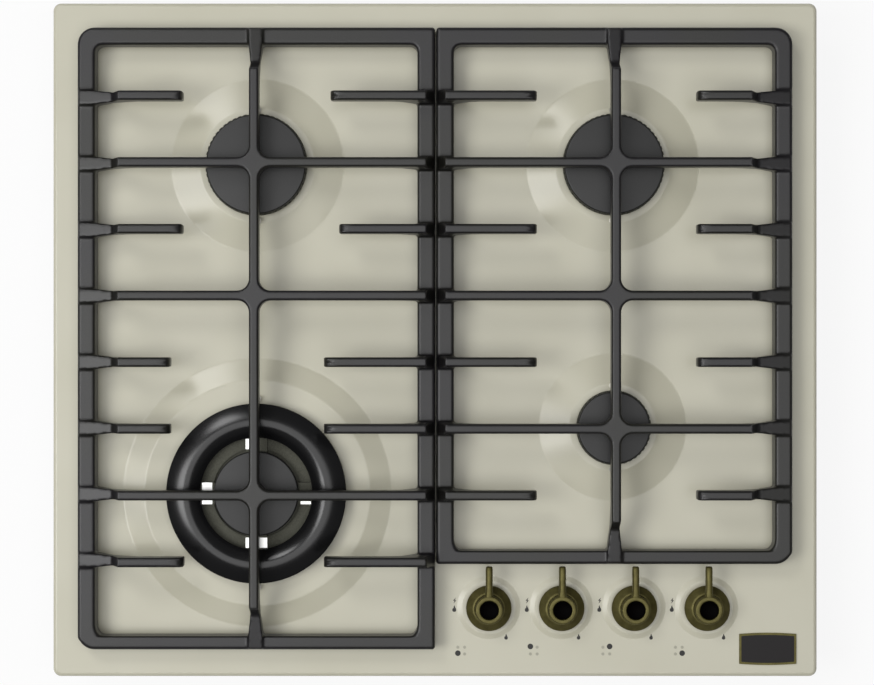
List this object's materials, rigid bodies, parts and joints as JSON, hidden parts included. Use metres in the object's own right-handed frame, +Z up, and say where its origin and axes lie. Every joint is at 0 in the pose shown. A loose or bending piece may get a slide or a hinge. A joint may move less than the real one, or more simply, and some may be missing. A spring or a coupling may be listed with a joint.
{
  "type": "gas cooktop",
  "caption": "Built-in gas cooktop: sunk cream plate, cast pan supports, ringed large burner, single burners, bronze lever knobs in a row and a tray with gas inlet.",
  "frame": {"origin": "under the middle of the tray, on the plane of the tray's underside", "axes": "+X to the right along the front edge, +Y to the rear, +Z up; the knobs are at the front right"},
  "size_m": [0.59, 0.52, 0.097],
  "materials": {
    "cream_enamel": "satin enamel",
    "galvanised_steel": "zinc coated sheet",
    "seal_foam": "matte foam",
    "bronze": "antique bronze, satin",
    "steel": "bright zinc",
    "cast_iron": "matte black enamel",
    "black_rubber": "matte",
    "cast_aluminium": "cast, satin",
    "black_enamel": "black enamel",
    "brass": "turned",
    "white_ceramic": "glazed ceramic",
    "black_plastic": "gloss",
    "grey_plastic": "matte",
    "lead_silicone": "silicone"
  },
  "bodies": {
    "base": {"hob_plate": "cream_enamel", "burner_tray": "galvanised_steel", "flange_seal": "seal_foam", "badge": "bronze", "fixing_screws": "steel", "injectors": "brass", "spark_electrodes": "white_ceramic", "flame_sensors": "steel", "spindle_seals": "black_rubber", "gas_rail": "galvanised_steel", "burner_pipes": "cast_aluminium", "gas_inlet": "brass", "spark_generator": "black_plastic", "terminal_box": "grey_plastic", "ignition_leads": "lead_silicone", "rear_left_burner_cup": "cast_aluminium", "rear_right_burner_cup": "cast_aluminium", "front_right_burner_cup": "cast_aluminium", "front_left_burner_cup": "cast_aluminium", "tap_body_1": "cast_aluminium", "tap_body_2": "cast_aluminium", "tap_body_3": "cast_aluminium", "tap_body_4": "cast_aluminium"},
    "left_support": {"left_pan_support": "cast_iron", "left_support_feet": "black_rubber"},
    "right_support": {"right_pan_support": "cast_iron", "right_support_feet": "black_rubber"},
    "rear_left_spreader": {"rear_left_flame_spreader": "cast_aluminium"},
    "rear_left_cap": {"rear_left_burner_cap": "black_enamel"},
    "rear_right_spreader": {"rear_right_flame_spreader": "cast_aluminium"},
    "rear_right_cap": {"rear_right_burner_cap": "black_enamel"},
    "front_right_spreader": {"front_right_flame_spreader": "cast_aluminium"},
    "front_right_cap": {"front_right_burner_cap": "black_enamel"},
    "front_left_spreader": {"front_left_flame_spreader": "cast_aluminium"},
    "front_left_ring_cap": {"front_left_outer_cap": "black_enamel"},
    "front_left_core_cap": {"front_left_inner_cap": "black_enamel"},
    "plug_1": {"tap_plug_1": "brass", "tap_spring_1": "steel"},
    "knob_1": {"knob_1": "bronze", "knob_insert_1": "black_plastic", "tap_spindle_1": "steel"},
    "plug_2": {"tap_plug_2": "brass", "tap_spring_2": "steel"},
    "knob_2": {"knob_2": "bronze", "knob_insert_2": "black_plastic", "tap_spindle_2": "steel"},
    "plug_3": {"tap_plug_3": "brass", "tap_spring_3": "steel"},
    "knob_3": {"knob_3": "bronze", "knob_insert_3": "black_plastic", "tap_spindle_3": "steel"},
    "plug_4": {"tap_plug_4": "brass", "tap_spring_4": "steel"},
    "knob_4": {"knob_4": "bronze", "knob_insert_4": "black_plastic", "tap_spindle_4": "steel"},
    "clamp_1": {"hold_down_clamp_1": "galvanised_steel"},
    "clamp_2": {"hold_down_clamp_2": "galvanised_steel"},
    "clamp_3": {"hold_down_clamp_3": "galvanised_steel"},
    "clamp_4": {"hold_down_clamp_4": "galvanised_steel"}
  },
  "joints": [
    {"name": "left_support_lift", "type": "slide", "parent": "base", "child": "left_support", "axis": [0, 0, 1], "range_m": [0, 0.08]},
    {"name": "right_support_lift", "type": "slide", "parent": "base", "child": "right_support", "axis": [0, 0, 1], "range_m": [0, 0.08]},
    {"name": "rear_left_spreader_lift", "type": "slide", "parent": "base", "child": "rear_left_spreader", "axis": [0, 0, 1], "range_m": [0, 0.0035]},
    {"name": "rear_left_cap_lift", "type": "slide", "parent": "rear_left_spreader", "child": "rear_left_cap", "axis": [0, 0, 1], "range_m": [0, 0.0045]},
    {"name": "rear_right_spreader_lift", "type": "slide", "parent": "base", "child": "rear_right_spreader", "axis": [0, 0, 1], "range_m": [0, 0.0035]},
    {"name": "rear_right_cap_lift", "type": "slide", "parent": "rear_right_spreader", "child": "rear_right_cap", "axis": [0, 0, 1], "range_m": [0, 0.0045]},
    {"name": "front_right_spreader_lift", "type": "slide", "parent": "base", "child": "front_right_spreader", "axis": [0, 0, 1], "range_m": [0, 0.0035]},
    {"name": "front_right_cap_lift", "type": "slide", "parent": "front_right_spreader", "child": "front_right_cap", "axis": [0, 0, 1], "range_m": [0, 0.0045]},
    {"name": "front_left_spreader_lift", "type": "slide", "parent": "base", "child": "front_left_spreader", "axis": [0, 0, 1], "range_m": [0, 0.0025]},
    {"name": "front_left_ring_cap_lift", "type": "slide", "parent": "front_left_spreader", "child": "front_left_ring_cap", "axis": [0, 0, 1], "range_m": [0, 0.0035]},
    {"name": "front_left_core_cap_lift", "type": "slide", "parent": "front_left_spreader", "child": "front_left_core_cap", "axis": [0, 0, 1], "range_m": [0, 0.006]},
    {"name": "knob_1_turn", "type": "hinge", "parent": "base", "child": "plug_1", "pos_m": [0.0414, -0.2066, 0.0419], "axis": [0, 0, 1], "range_deg": [0, 215]},
    {"name": "knob_1_push", "type": "slide", "parent": "plug_1", "child": "knob_1", "axis": [0, 0, -1], "range_m": [0, 0.0035], "stiffness_N_per_m": 900, "springref_m": -0.002, "deforming": ["tap_spring_1"]},
    {"name": "knob_2_turn", "type": "hinge", "parent": "base", "child": "plug_2", "pos_m": [0.0974, -0.2066, 0.0419], "axis": [0, 0, 1], "range_deg": [0, 215]},
    {"name": "knob_2_push", "type": "slide", "parent": "plug_2", "child": "knob_2", "axis": [0, 0, -1], "range_m": [0, 0.0035], "stiffness_N_per_m": 900, "springref_m": -0.002, "deforming": ["tap_spring_2"]},
    {"name": "knob_3_turn", "type": "hinge", "parent": "base", "child": "plug_3", "pos_m": [0.1534, -0.2066, 0.0419], "axis": [0, 0, 1], "range_deg": [0, 215]},
    {"name": "knob_3_push", "type": "slide", "parent": "plug_3", "child": "knob_3", "axis": [0, 0, -1], "range_m": [0, 0.0035], "stiffness_N_per_m": 900, "springref_m": -0.002, "deforming": ["tap_spring_3"]},
    {"name": "knob_4_turn", "type": "hinge", "parent": "base", "child": "plug_4", "pos_m": [0.2094, -0.2066, 0.0419], "axis": [0, 0, 1], "range_deg": [0, 215]},
    {"name": "knob_4_push", "type": "slide", "parent": "plug_4", "child": "knob_4", "axis": [0, 0, -1], "range_m": [0, 0.0035], "stiffness_N_per_m": 900, "springref_m": -0.002, "deforming": ["tap_spring_4"]},
    {"name": "clamp_1_swing", "type": "hinge", "parent": "base", "child": "clamp_1", "pos_m": [-0.165, -0.2275, 0.004], "axis": [0, 0, -1], "range_deg": [0, 90]},
    {"name": "clamp_2_swing", "type": "hinge", "parent": "base", "child": "clamp_2", "pos_m": [0.165, -0.2275, 0.004], "axis": [0, 0, 1], "range_deg": [0, 90]},
    {"name": "clamp_3_swing", "type": "hinge", "parent": "base", "child": "clamp_3", "pos_m": [0.165, 0.2275, 0.004], "axis": [0, 0, -1], "range_deg": [0, 90]},
    {"name": "clamp_4_swing", "type": "hinge", "parent": "base", "child": "clamp_4", "pos_m": [-0.165, 0.2275, 0.004], "axis": [0, 0, 1], "range_deg": [0, 90]}
  ]
}
